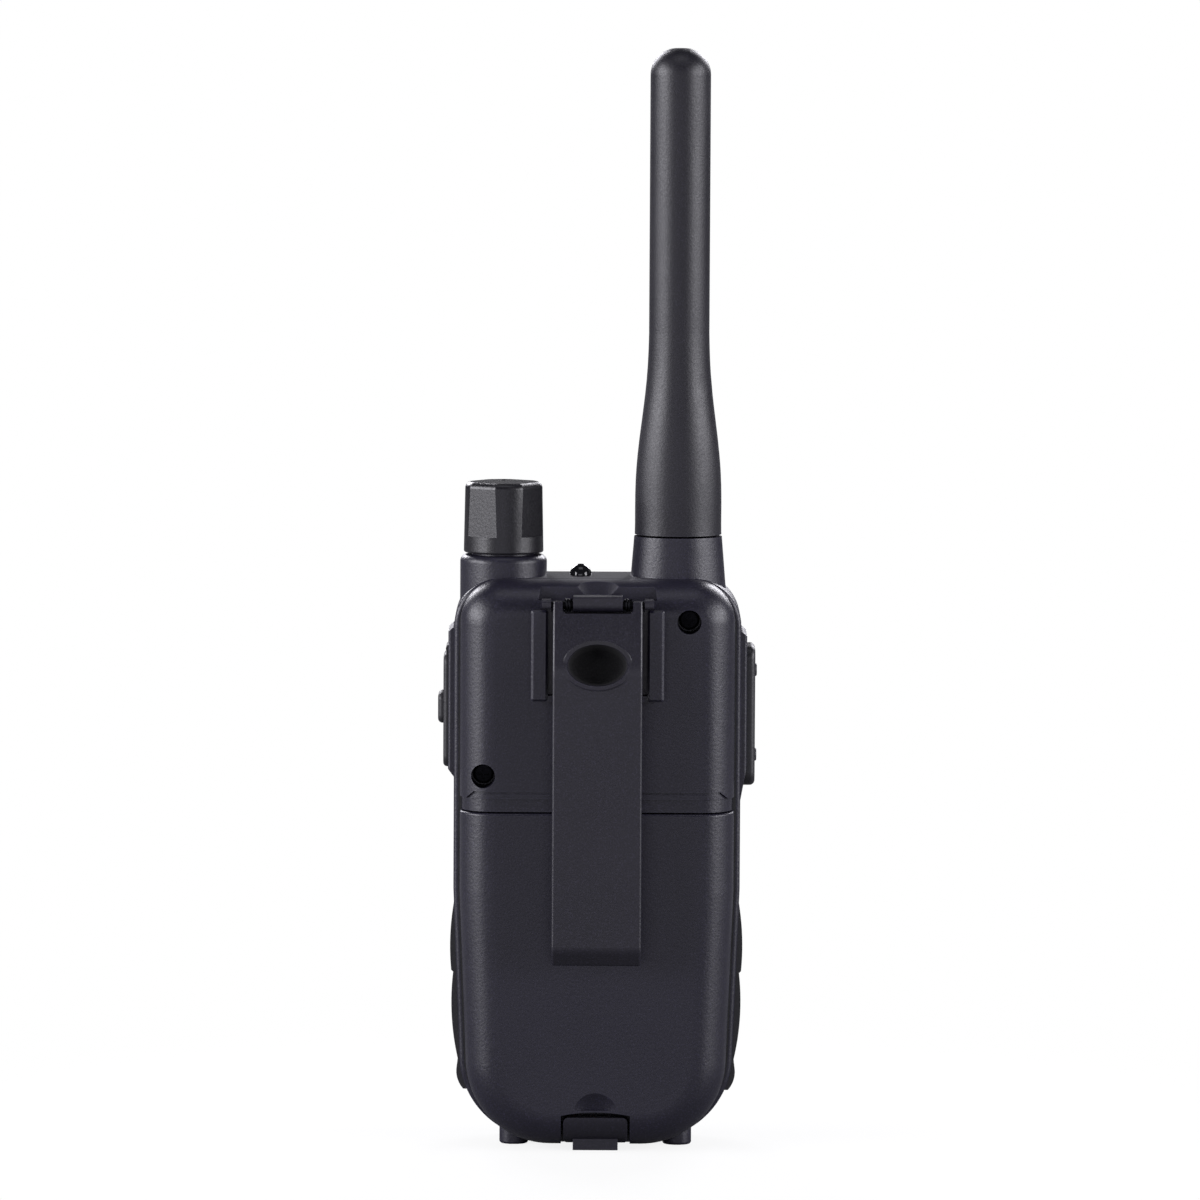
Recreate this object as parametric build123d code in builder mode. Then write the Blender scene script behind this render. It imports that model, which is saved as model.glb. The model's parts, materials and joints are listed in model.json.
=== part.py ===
from build123d import *
from math import cos, radians, sin
import os

# A handheld two-way radio, in millimetres.
# +Z is up, the display and speaker face -Y, the belt clip faces +Y.
# The origin is on the surface that the feet stand on, under the middle of the box around the radio.

# ---------------------------------------------------------------- driving dimensions
HEIGHT = 220.0  # feet to antenna tip
HALF_W = 28.7  # front case, above the grips
CASE_TOP = 114.3
CASE_BASE = 1.2
FRONT_Y = -20.0
BACK_Y = 11.5
PART_Y = 2.0  # plane where the front case meets the rear case and the battery door
WALL = 2.0
GAP = 0.3  # clearance round a piece that moves
TOUCH = 0.02  # clearance between two pieces that rest on each other
SLIP = 0.05  # radial clearance of a shaft or pin

REAR_HALF_W = 27.4
REAR_ROUND = 7.0  # rounding between the back face and the sides
REAR_BASE = 0.9
BAND_TOP = 72.2  # groove across the back above the battery door
BAND_STEP = 71.0
DOOR_TOP = 68.1
TOP_ROW_Y = -7.0  # plane through the antenna, the knob and the lamp

ANTENNA_X = -16.0
SEAM_Z = 122.4  # where the antenna leaves its moulded base
KNOB_X = 19.0
KNOB_Z = (118.9, 133.1)
LED_X = 3.5

TRAY_HALF_W = 23.6  # battery tray, outside
TRAY_Z = (3.8, DOOR_TOP - 0.4)
TRAY_FLOOR_Y = -7.2
TRAY_RIM_Y = 5.0
TRAY_WALL = 1.3
TRAY_ROUND = 13
CELL_R = 7.15
CELL_BODY = 49.5
CELL_NUB = 1.0
CELL_PITCH = 14.6
CELL_Y = 1.6
BAY_Z = (8.3, 63.8)  # faces of the two rows of battery contacts

BOARD_Y = (-9.6, -8.6)
BOARD_Z = (51.0, 103.0)
BOARD_HALF_W = 23.5
BOARD_SCREWS = [(-20.8, 54.5), (20.8, 100.2)]
MIC_AT = (17.0, 53.5)

SIDE_Y = -7.0  # middle of the talk button and of the jack cover
PTT_Z = (72.5, 100.6)
JACK_Z = (93.5, 84.0)
JACK_R = (1.75, 1.25)
JACK_Y = -5.5
JACK_FACE_X = 26.4
COVER_Z = (75.9, 98.8)
COVER_HINGE = (29.6, 99.7)  # X and Z of the jack cover's hinge line

SPEAKER_Z = 31.0
SPEAKER_R = 18.0
SCREEN_Z = (79.0, 99.0)
SCREEN_HALF_W = 17.0
PANEL_HALF_W = 22.0  # sunk panel that holds the display and the keys
PANEL_Z = (55.0, 103.5)
PANEL_DEPTH = 0.5
KEY_FACE_Y = -20.5
KEYS = {  # middle of each front key (X, Z) and its size
    "menu_key": ((-13.2, 71.6), (11.0, 5.4)),
    "call_key": ((0.0, 71.6), (11.0, 5.4)),
    "lock_key": ((13.2, 71.6), (11.0, 5.4)),
    "down_key": ((-9.0, 61.4), (13.0, 6.0)),
    "up_key": ((9.0, 61.4), (13.0, 6.0)),
}

SCREW_BACK = [(-18.2, 106.5), (22.7, 75.5)]  # seen from behind
SCREW_TRAY = [(-7.3, 53.5), (7.3, 53.5)]  # in the tray floor, between the cells
SCREW_HOLE_R = 2.4
SCREW_HEAD_R = 2.05
SCREW_R = 1.1
BOSS_R = 3.0
BOSS_TOP_Y = -0.6
HEAD_SEAT_Y = 4.0

PIVOT_Y = 15.0  # hinge line of the clip arm
PIVOT_Z = 110.2
PIVOT_R = 0.75
ARM_Y = 20.0  # outer face of the clip arm
ARM_T = 2.2
ARM_HALF_W = 8.9
RAIL_X = (9.9, 13.2)
RAIL_Z = (90.9, 109.1)
RAIL_Y = 15.0
PLATE_Y = (BACK_Y + 0.25, BACK_Y + 1.6)

LATCH_HALF_W = 6.4
LATCH_Z = (1.3, 7.0)
LATCH_PIN = (8.4, 5.3)  # Y and Z of the latch's pin
LATCH_PIN_R = 0.6

FOOT_X = 16.4
FOOT_SIZE = (5.8, 17.0)
FOOT_Y = -7.6


# ---------------------------------------------------------------- shared shapes
def upright(y):
    """Sketch plane at depth y, +X to the right and +Z up. Its normal points to the front, -Y."""
    return Plane.XZ.offset(-y)


def sideways(x):
    """Sketch plane at X = x, with +Y to the right and +Z up. Its normal points to +X."""
    return Plane.YZ.offset(x)


def level(z):
    return Plane.XY.offset(z)


os.makedirs("parts", exist_ok=True)


def finish(name, part):
    part.label = name
    export_step(part, f"parts/{name}.step")


def case_outline(half_w, base, top_round, inset=0.0):
    """Outline of the radio's body from the front: straight sides that lean in below the grips' top."""
    with BuildSketch() as outline:
        with BuildLine():
            Polyline(
                (-half_w, CASE_TOP),
                (half_w, CASE_TOP),
                (half_w, 52),
                (half_w - 2.0, base),
                (2.0 - half_w, base),
                (-half_w, 52),
                close=True,
            )
        make_face()
        fillet(outline.vertices().group_by(Axis.Y)[0], 17)
        fillet(outline.vertices().group_by(Axis.Y)[-1], top_round)
        if inset:
            offset(amount=-inset, mode=Mode.REPLACE)
    return outline.sketch


def front_outline(inset=0.0):
    return case_outline(HALF_W, CASE_BASE, 9.5, inset)


def rear_outline(inset=0.0):
    return case_outline(REAR_HALF_W, REAR_BASE, 8.5, inset)


def rear_blank(inset=0.0):
    """The rounded back half of the radio as one solid, pulled in by inset."""
    with BuildPart() as blank:
        with BuildSketch(upright(PART_Y)):
            add(rear_outline(inset))
        extrude(amount=-(BACK_Y - inset - PART_Y))
        fillet(blank.faces().sort_by(Axis.Y)[-1].edges(), REAR_ROUND - inset)
    return blank.part


def tray_outline(inset=0.0, top=None):
    """Outline of the battery tray from the front, its two lower corners rounded."""
    top = top or TRAY_Z[1] - inset
    half_w = TRAY_HALF_W - inset
    with BuildSketch() as outline:
        with Locations((0, (TRAY_Z[0] + inset + top) / 2)):
            Rectangle(2 * half_w, top - TRAY_Z[0] - inset)
        fillet(outline.vertices().group_by(Axis.Y)[0], TRAY_ROUND - inset)
    return outline.sketch


def slab(x, y, z, rounding=0.0):
    """A box between two X, two Y and two Z values, its upright edges rounded."""
    with BuildPart() as body:
        with BuildSketch(level(z[0])):
            with Locations(((x[0] + x[1]) / 2, (y[0] + y[1]) / 2)):
                Rectangle(x[1] - x[0], y[1] - y[0])
        extrude(amount=z[1] - z[0])
        if rounding:
            fillet(body.edges().filter_by(Axis.Z), rounding)
    return body.part


def rod(start, axis_plane, radius, length):
    """A round bar that starts at a point and runs along the normal of the plane given."""
    with BuildPart() as bar:
        with BuildSketch(Plane(origin=start, x_dir=axis_plane.x_dir, z_dir=axis_plane.z_dir)):
            Circle(radius)
        extrude(amount=length)
    return bar.part


def spring(base, coil_r, wire_r, turns, length, direction=(0, 0, 1)):
    """A round-wire coil whose axis starts at base."""
    with BuildPart() as coil:
        with BuildLine() as path:
            Helix(pitch=length / turns, height=length, radius=coil_r, center=base, direction=direction)
        with BuildSketch(Plane(origin=path.line @ 0, z_dir=path.line % 0)):
            Circle(wire_r)
        sweep(path=path.line, is_frenet=True)
    return coil.part


def front_blank(inset=0.0):
    """The front half of the body as one solid, pulled in by inset."""
    with BuildPart() as blank:
        with BuildSketch(upright(PART_Y)):
            add(front_outline(inset))
        extrude(amount=PART_Y - FRONT_Y - inset)
        fillet(blank.faces().sort_by(Axis.Y)[0].edges(), 4.5 - inset)
        if not inset:
            fillet(blank.faces().sort_by(Axis.Y)[-1].edges(), 0.8)
    return blank.part


# ---------------------------------------------------------------- front case
SEAM_SIZE = (17.6, 15.6)
COLLAR_R = 8.7
COLLAR_TOP = 118.5
LIP_R = (5.9, 6.4)  # thin ring on the collar that reaches up inside the knob
LIP_TOP = COLLAR_TOP + 1.6
ANTENNA_BORE_R = 4.0
STUD_Z = 110.6

with BuildPart() as front_case:
    add(front_blank())
    with BuildSketch(level(100)):  # antenna base, from inside the case to the seam
        with Locations((ANTENNA_X, TOP_ROW_Y)):
            Ellipse(10.6, 8.9)
    with BuildSketch(level(SEAM_Z - 0.1)):
        with Locations((ANTENNA_X, TOP_ROW_Y)):
            Ellipse(SEAM_SIZE[0] / 2, SEAM_SIZE[1] / 2)
    loft()
    with BuildSketch(level(100)):  # collar round the volume knob's shaft
        with Locations((KNOB_X, TOP_ROW_Y)):
            Circle(COLLAR_R)
    extrude(amount=COLLAR_TOP - 100)
    fillet(front_case.edges().filter_by(GeomType.CIRCLE).sort_by(Axis.Z)[-1], 1.4)
    with BuildSketch(level(COLLAR_TOP - 1)):
        with Locations((KNOB_X, TOP_ROW_Y)):
            Circle(LIP_R[1])
    extrude(amount=LIP_TOP - COLLAR_TOP + 1)
    with BuildSketch(level(0)):  # two feet
        with Locations((-FOOT_X, FOOT_Y), (FOOT_X, FOOT_Y)):
            RectangleRounded(*FOOT_SIZE, 2.6)
    extrude(amount=8)
    fillet(front_case.faces().sort_by(Axis.Z)[:2].edges(), 0.5)
    add(front_blank(WALL), mode=Mode.SUBTRACT)
    with BuildSketch(upright(PART_Y)):  # the cavity is open towards the back
        add(front_outline(WALL))
    extrude(amount=3, mode=Mode.SUBTRACT)
    with BuildSketch(level(STUD_Z - 1.6)):  # floor under the antenna's stud
        with Locations((ANTENNA_X, TOP_ROW_Y)):
            Circle(5.6)
    extrude(amount=CASE_TOP - STUD_Z)
    with BuildSketch(level(STUD_Z - 1.6)):
        with Locations((ANTENNA_X, TOP_ROW_Y)):
            Circle(ANTENNA_BORE_R)
    extrude(amount=20, mode=Mode.SUBTRACT)
    with BuildSketch(level(CASE_TOP)):  # hollow of the collar
        with Locations((KNOB_X, TOP_ROW_Y)):
            Circle(LIP_R[0])
    extrude(amount=10, mode=Mode.SUBTRACT)
    with BuildSketch(level(CASE_TOP - 5)):  # hole for the volume control's bush
        with Locations((KNOB_X, TOP_ROW_Y)):
            Circle(3.6)
        with Locations((LED_X, TOP_ROW_Y)):
            Circle(2.0)
    extrude(amount=6, mode=Mode.SUBTRACT)
    with BuildSketch(upright(FRONT_Y + 0.9)):  # bosses for the four case screws
        with Locations(*SCREW_BACK, *SCREW_TRAY):
            Circle(BOSS_R)
    extrude(amount=-(BOSS_TOP_Y - FRONT_Y - 0.9))
    with BuildSketch(upright(TRAY_FLOOR_Y - TOUCH)):  # the lower two end under the battery tray
        with Locations(*SCREW_TRAY):
            Circle(BOSS_R + 0.2)
    extrude(amount=-10, mode=Mode.SUBTRACT)
    with BuildSketch(upright(FRONT_Y + 0.9)):  # posts under the circuit board
        with Locations(*BOARD_SCREWS):
            Circle(2.3)
    extrude(amount=-(BOARD_Y[0] - TOUCH - FRONT_Y - 0.9))
    with BuildSketch(upright(BOARD_Y[0] - 6)):
        with Locations(*BOARD_SCREWS):
            Circle(SCREW_R)
    extrude(amount=-10, mode=Mode.SUBTRACT)
    with BuildSketch(upright(BOSS_TOP_Y - 9)):
        with Locations(*SCREW_BACK):
            Circle(SCREW_R)
    extrude(amount=-10, mode=Mode.SUBTRACT)
    with BuildSketch(upright(TRAY_FLOOR_Y - 7)):
        with Locations(*SCREW_TRAY):
            Circle(SCREW_R)
    extrude(amount=-10, mode=Mode.SUBTRACT)
    with BuildSketch(upright(FRONT_Y + WALL)):  # display opening with a step for the window
        with Locations((0, sum(SCREEN_Z) / 2)):
            RectangleRounded(2 * SCREEN_HALF_W - 3, SCREEN_Z[1] - SCREEN_Z[0] - 3, 1.5)
    extrude(amount=3, mode=Mode.SUBTRACT)
    with BuildSketch(upright(FRONT_Y + 1.0)):
        with Locations((0, sum(SCREEN_Z) / 2)):
            RectangleRounded(2 * SCREEN_HALF_W, SCREEN_Z[1] - SCREEN_Z[0], 3)
    extrude(amount=2, mode=Mode.SUBTRACT)
    with BuildSketch(upright(FRONT_Y + PANEL_DEPTH)):  # sunk panel round the display and the keys
        with Locations((0, sum(PANEL_Z) / 2)):
            RectangleRounded(2 * PANEL_HALF_W, PANEL_Z[1] - PANEL_Z[0], 6)
    extrude(amount=2, taper=-45, mode=Mode.SUBTRACT)
    with BuildSketch(upright(FRONT_Y + PANEL_DEPTH)):  # sunk round field of the speaker slots
        with Locations((0, SPEAKER_Z)):
            Circle(SPEAKER_R + 0.6)
    extrude(amount=2, taper=-45, mode=Mode.SUBTRACT)
    for place, size in KEYS.values():  # key holes
        with BuildSketch(upright(FRONT_Y + WALL + 0.5)):
            with Locations(place):
                RectangleRounded(size[0] + 2 * GAP, size[1] + 2 * GAP, size[1] / 2 - 0.1)
        extrude(amount=4, mode=Mode.SUBTRACT)
    with BuildSketch(upright(FRONT_Y + WALL + 0.5)):  # speaker slots, shorter away from the middle
        for row in range(-3, 4):
            half = (15.5**2 - (4.2 * row) ** 2) ** 0.5
            with Locations((0, SPEAKER_Z + 4.2 * row)):
                SlotOverall(2 * half, 1.8)
        with Locations(MIC_AT):  # microphone hole
            Circle(0.8)
    extrude(amount=4, mode=Mode.SUBTRACT)
    with BuildSketch(sideways(-HALF_W - 1)):  # hole for the talk button
        with Locations((SIDE_Y, sum(PTT_Z) / 2)):
            RectangleRounded(12.4 + 2 * GAP, PTT_Z[1] - PTT_Z[0] + 2 * GAP, 3)
    extrude(amount=4, mode=Mode.SUBTRACT)
    with BuildSketch(sideways(HALF_W - 3)):  # holes for the two jacks
        with Locations(*[(JACK_Y, z) for z in JACK_Z]):
            Circle(3.6)
    extrude(amount=4, mode=Mode.SUBTRACT)
    with BuildSketch(level(-1)):  # pockets for the charging contacts
        with Locations((-FOOT_X, FOOT_Y), (FOOT_X, FOOT_Y)):
            RectangleRounded(3.2, 9.0, 1.2)
    extrude(amount=2.6, mode=Mode.SUBTRACT)
    with BuildSketch(upright(PART_Y)):  # groove for the seal
        add(front_outline(0.9))
        add(front_outline(1.6), mode=Mode.SUBTRACT)
    extrude(amount=0.7, mode=Mode.SUBTRACT)
finish("front_case", front_case.part)

with BuildPart() as case_seal:
    with BuildSketch(upright(PART_Y)):
        add(front_outline(0.9 + TOUCH))
        add(front_outline(1.6 - TOUCH), mode=Mode.SUBTRACT)
    extrude(amount=0.7 - TOUCH)
finish("case_seal", case_seal.part)

with BuildPart() as charge_contacts:
    for side in (-1, 1):
        with BuildSketch(level(0.1)):
            with Locations((side * FOOT_X, FOOT_Y)):
                RectangleRounded(3.2 - 2 * TOUCH, 9.0 - 2 * TOUCH, 1.2)
        extrude(amount=1.4)
finish("charge_contacts", charge_contacts.part)

# ---------------------------------------------------------------- rear case with its battery tray
POCKET_Z = (110.7, 113.8)
POCKET_Y = 8.2
TRAY_X = (-TRAY_HALF_W, TRAY_HALF_W)
TRAY_IN_X = (TRAY_WALL - TRAY_HALF_W, TRAY_HALF_W - TRAY_WALL)
TRAY_IN_TOP = 67.0
RIB_Z = (BAY_Z[1] + 0.35, BAY_Z[1] + 1.5)

with BuildPart() as rear_case:
    add(rear_blank())
    add(rear_blank(WALL), mode=Mode.SUBTRACT)
    with BuildSketch(upright(PART_Y)):  # lower half of the back belongs to the battery door
        with Locations((0, DOOR_TOP / 2)):
            Rectangle(80, DOOR_TOP + GAP * 2)
    extrude(amount=-20, mode=Mode.SUBTRACT)
    with BuildPart(mode=Mode.PRIVATE) as rear_fill:  # solid shoulders: under the clip pocket and the band
        add(slab((-14, 14), (POCKET_Y - WALL, BACK_Y), (106.5, CASE_TOP)))
        add(slab((-27, 27), (PART_Y, BACK_Y), (DOOR_TOP + GAP, BAND_TOP + 1.2)))
        with BuildSketch(upright(PART_Y)):  # bosses over the upper two screws
            with Locations(*SCREW_BACK):
                Circle(BOSS_R + 0.6)
        extrude(amount=PART_Y - BACK_Y)
        add(rear_blank(0.5), mode=Mode.INTERSECT)
    add(rear_fill.part)
    with BuildPart(mode=Mode.PRIVATE) as tray:
        with BuildSketch(upright(TRAY_FLOOR_Y)):
            add(tray_outline())
        extrude(amount=TRAY_FLOOR_Y - TRAY_RIM_Y)
        add(slab(TRAY_X, (TRAY_FLOOR_Y, PART_Y + 1), (TRAY_IN_TOP, BAND_TOP - 0.6)))
        with BuildSketch(upright(TRAY_FLOOR_Y + TRAY_WALL)):
            add(tray_outline(TRAY_WALL, TRAY_IN_TOP))
        extrude(amount=-30, mode=Mode.SUBTRACT)
        add(slab(TRAY_IN_X, (TRAY_FLOOR_Y, TRAY_RIM_Y), RIB_Z))
        add(slab((-15, 15), (TRAY_FLOOR_Y, TRAY_RIM_Y), (TRAY_Z[0] + 0.5, BAY_Z[0] - 0.35)))
    add(tray.part)
    with BuildSketch(upright(BOSS_TOP_Y + TOUCH)):  # the bosses reach forward to those of the front case
        with Locations(*SCREW_BACK):
            Circle(BOSS_R + 0.6)
    extrude(amount=BOSS_TOP_Y + TOUCH - PART_Y - 2)
    with BuildSketch(upright(HEAD_SEAT_Y)):  # deep holes that the screw heads sit in
        with Locations(*SCREW_BACK):
            Circle(SCREW_HOLE_R)
    extrude(amount=-10, mode=Mode.SUBTRACT)
    with BuildSketch(upright(TRAY_FLOOR_Y - 1)):
        with Locations(*SCREW_BACK, *SCREW_TRAY):
            Circle(SCREW_R + 0.2)
    extrude(amount=-20, mode=Mode.SUBTRACT)
    with BuildPart(mode=Mode.PRIVATE) as rails:  # two rails that hold the clip's plate
        for side in (-1, 1):
            with BuildSketch(upright(BACK_Y - 0.4)):
                with Locations((side * sum(RAIL_X) / 2, sum(RAIL_Z) / 2)):
                    RectangleRounded(RAIL_X[1] - RAIL_X[0], RAIL_Z[1] - RAIL_Z[0], 0.5)
            extrude(amount=-(RAIL_Y - BACK_Y + 0.4))
        chamfer(rails.faces().sort_by(Axis.Y)[-2:].edges(), 0.45)
        add(slab((-RAIL_X[1] + 1, RAIL_X[1] - 1), (BACK_Y - 0.4, RAIL_Y - 0.6), (RAIL_Z[0], RAIL_Z[0] + 1.1)))
    add(rails.part)
    add(slab((-11.4, 11.4), (BACK_Y, PLATE_Y[1] + 0.25), (RAIL_Z[0] + 1.2, 120)), mode=Mode.SUBTRACT)
    with BuildSketch(upright(POCKET_Y)):  # pocket above the rails
        with Locations((0, sum(POCKET_Z) / 2)):
            Trapezoid(23.6, POCKET_Z[1] - POCKET_Z[0], 80)
    extrude(amount=-10, mode=Mode.SUBTRACT)
    with BuildSketch(Plane(origin=(0, BACK_Y + 1.0, 111.6))):  # bowl for the finger that frees the clip
        Circle(5.0)
    with BuildSketch(Plane(origin=(0, BACK_Y + 1.0, CASE_TOP + 0.4))):
        Circle(6.8)
    loft(mode=Mode.SUBTRACT)
    with BuildPart(mode=Mode.PRIVATE) as band:  # recessed band and groove above the battery door
        add(rear_blank())
        add(rear_blank(0.45), mode=Mode.SUBTRACT)
        with BuildSketch(upright(PART_Y - 1)):
            with Locations((0, (DOOR_TOP + BAND_STEP) / 2)):
                Rectangle(80, BAND_STEP - DOOR_TOP)
            with Locations((0, BAND_TOP)):
                Rectangle(49, 0.45)
            for side in (-1, 1):
                with Locations((side * 25.6, BAND_TOP - 1.0)):
                    Rectangle(3.4, 0.45, rotation=-side * 42)
        extrude(amount=-20, mode=Mode.INTERSECT)
    add(band.part, mode=Mode.SUBTRACT)
finish("rear_case", rear_case.part)

with BuildPart() as battery_seal:
    with BuildSketch(upright(TRAY_RIM_Y)):
        add(tray_outline(0.1))
        add(tray_outline(0.9), mode=Mode.SUBTRACT)
    extrude(amount=-0.8)
finish("battery_seal", battery_seal.part)

# ---------------------------------------------------------------- screws
def pan_screw(place, seat, depth, head=1.6):
    """A cross-head screw driven towards the front, its head resting at depth seat."""
    with BuildPart() as screw:
        with BuildSketch(upright(seat + TOUCH)):
            with Locations(place):
                Circle(SCREW_HEAD_R)
        extrude(amount=-head)
        fillet(screw.faces().sort_by(Axis.Y)[-1].edges(), head / 3)
        with BuildSketch(upright(seat + head / 2)):
            with Locations(place):
                Rectangle(2.2, 0.55)
                Rectangle(0.55, 2.2)
        extrude(amount=-3, mode=Mode.SUBTRACT)
        with BuildSketch(upright(seat + TOUCH)):
            with Locations(place):
                Circle(SCREW_R - TOUCH)
        extrude(amount=depth)
    return screw.part


with BuildPart() as case_screws:
    for place in SCREW_BACK:
        add(pan_screw(place, HEAD_SEAT_Y, 13))
    for place in SCREW_TRAY:
        add(pan_screw(place, TRAY_FLOOR_Y + TRAY_WALL, 7))
finish("case_screws", case_screws.part)

# ---------------------------------------------------------------- battery door, latch and its pin
DOOR_WALL = 1.8
SCOOP_R = 8.0

with BuildPart() as battery_door:
    add(rear_blank())
    add(rear_blank(DOOR_WALL), mode=Mode.SUBTRACT)
    with BuildSketch(upright(PART_Y)):
        with Locations((0, CASE_TOP / 2)):
            Rectangle(80, CASE_TOP + 10)
        with Locations((0, DOOR_TOP / 2 - 10)):
            Rectangle(80, DOOR_TOP + 20, mode=Mode.SUBTRACT)
    extrude(amount=-20, mode=Mode.SUBTRACT)
    with BuildSketch(upright(PART_Y)):  # running gap to the front case's rim
        Rectangle(80, 300)
    extrude(amount=-0.2, mode=Mode.SUBTRACT)
    fillet(battery_door.edges().filter_by(Axis.X).group_by(Axis.Z)[-1].sort_by(Axis.Y)[-1], 0.5)
    with BuildPart(mode=Mode.PRIVATE) as thumb:  # crescent to pull the door with a nail
        with Locations((0, BACK_Y + 6.6, 7.5)):
            Sphere(SCOOP_R)
        add(slab((-9, 9), (0, 30), (8.5, 20)), mode=Mode.INTERSECT)
    add(thumb.part, mode=Mode.SUBTRACT)
    with BuildPart(mode=Mode.PRIVATE) as thicker:  # backing behind the crescent and pin ears for the latch
        add(slab((-8, 8), (8.95, BACK_Y), (8.2, 14)))
        for side in (-1, 1):
            add(slab(sorted((side * 6.9, side * 8.9)), (6.6, BACK_Y), (2.6, 8.4)))
        add(rear_blank(0.9), mode=Mode.INTERSECT)
    add(thicker.part)
    add(thumb.part, mode=Mode.SUBTRACT)
    with BuildSketch(upright(2.8)):  # opening for the latch, its top edge arched
        with BuildLine():
            Polyline((-6.9, 7.45), (-6.9, -1), (6.9, -1), (6.9, 7.45))
            ThreePointArc((-6.9, 7.45), (0, 8.15), (6.9, 7.45))
        make_face()
    extrude(amount=-10, mode=Mode.SUBTRACT)
    add(rod((-8.5, *LATCH_PIN), Plane.YZ, LATCH_PIN_R, 17), mode=Mode.SUBTRACT)
finish("battery_door", battery_door.part)

latch_pin = rod((-8.4, *LATCH_PIN), Plane.YZ, LATCH_PIN_R - TOUCH, 16.8)
finish("latch_pin", latch_pin)

with BuildPart() as door_latch:
    with BuildSketch(upright(6.8)):
        with Locations((0, sum(LATCH_Z) / 2)):
            RectangleRounded(2 * LATCH_HALF_W, LATCH_Z[1] - LATCH_Z[0], 1.0)
    extrude(amount=-10)
    add(rear_blank(0.1), mode=Mode.INTERSECT)
    add(slab((-4.5, 4.5), (3.4, 8.6), (0.1, 1.5)))
    with BuildPart(mode=Mode.PRIVATE) as latch_root:  # leg from the block down to the tab
        add(slab((-4.5, 4.5), (6.8, 8.6), (0.1, 3)))
    add(latch_root.part)
    add(rod((-8.0, *LATCH_PIN), Plane.YZ, LATCH_PIN_R + SLIP, 16), mode=Mode.SUBTRACT)
finish("door_latch", door_latch.part)

# ---------------------------------------------------------------- belt clip
SHOULDER_Z = (109.4, 111.2)
TONGUE_HALF_W = 4.9
TONGUE_TOP = 111.9
KNUCKLE_R = 1.4
NOTCH_HALF_W = 7.0
NOTCH_BASE = PIVOT_Z - KNUCKLE_R - 0.2
PLATE_TOP = 108.6
PLATE_BASE = RAIL_Z[0] + 1.4
CUP_Z = 98.5

with BuildPart() as clip_base:
    with BuildSketch(upright(PLATE_Y[0])):
        with Locations((0, (PLATE_BASE + PLATE_TOP) / 2)):
            Rectangle(2 * 11.1, PLATE_TOP - PLATE_BASE)
        with Locations((0, TONGUE_TOP - 6)):
            Rectangle(2 * TONGUE_HALF_W, 12)
        for side in (-1, 1):
            with Locations((side * 10.2, PLATE_TOP)):
                Rectangle(1.8, 2 * (SHOULDER_Z[1] - PLATE_TOP))
            with Locations((side * (TONGUE_HALF_W + 0.4), PLATE_TOP)):  # slots that free the tongue
                Rectangle(0.8, 18, mode=Mode.SUBTRACT)
    extrude(amount=-(PLATE_Y[1] - PLATE_Y[0]))
    with BuildSketch(upright(PLATE_Y[0])):  # raised middle of the plate, between the rails
        with Locations((0, (PLATE_BASE + 97) / 2)):
            RectangleRounded(18, 97 - PLATE_BASE, 1)
    extrude(amount=-(PLATE_Y[1] - PLATE_Y[0] + 0.7))
    for side in (-1, 1):  # ears that carry the pin
        add(slab(sorted((side * 9.3, side * 11.1)), (PLATE_Y[0], PIVOT_Y + 1.5), SHOULDER_Z))
    fillet(clip_base.edges().filter_by(Axis.X).group_by(Axis.Y)[-1], 0.6)
    with BuildSketch(sideways(-TONGUE_HALF_W)) as knuckle:  # knuckle on the tongue, round the pin
        with Locations((PIVOT_Y, PIVOT_Z)):
            Circle(KNUCKLE_R)
        with Locations(((PLATE_Y[0] + PIVOT_Y) / 2, PIVOT_Z)):
            Rectangle(PIVOT_Y - PLATE_Y[0], 2 * KNUCKLE_R)
        with Locations(((PLATE_Y[0] + PIVOT_Y + KNUCKLE_R) / 2, (PIVOT_Z + TONGUE_TOP) / 2)):
            Rectangle(PIVOT_Y + KNUCKLE_R - PLATE_Y[0], TONGUE_TOP - PIVOT_Z)
        fillet(knuckle.vertices().group_by(Axis.Y)[-1].sort_by(Axis.X)[-1], 0.5)
    extrude(amount=2 * TONGUE_HALF_W)
    add(rod((-12, PIVOT_Y, PIVOT_Z), Plane.YZ, PIVOT_R, 24), mode=Mode.SUBTRACT)
finish("clip_base", clip_base.part)

clip_pin = rod((-11.1, PIVOT_Y, PIVOT_Z), Plane.YZ, PIVOT_R - TOUCH, 22.2)
finish("clip_pin", clip_pin)

CUP_TILT = 10  # degrees that the dish leans back with the arm
CUP_DEPTH = 3.9
CUP_RIM = 0.6  # how far the rolled rim stands out of the arm
cup_in = (0, -cos(radians(CUP_TILT)), -sin(radians(CUP_TILT)))
cup_plane = Plane(origin=(0, ARM_Y - 0.93, CUP_Z), x_dir=(1, 0, 0), z_dir=cup_in)

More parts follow.
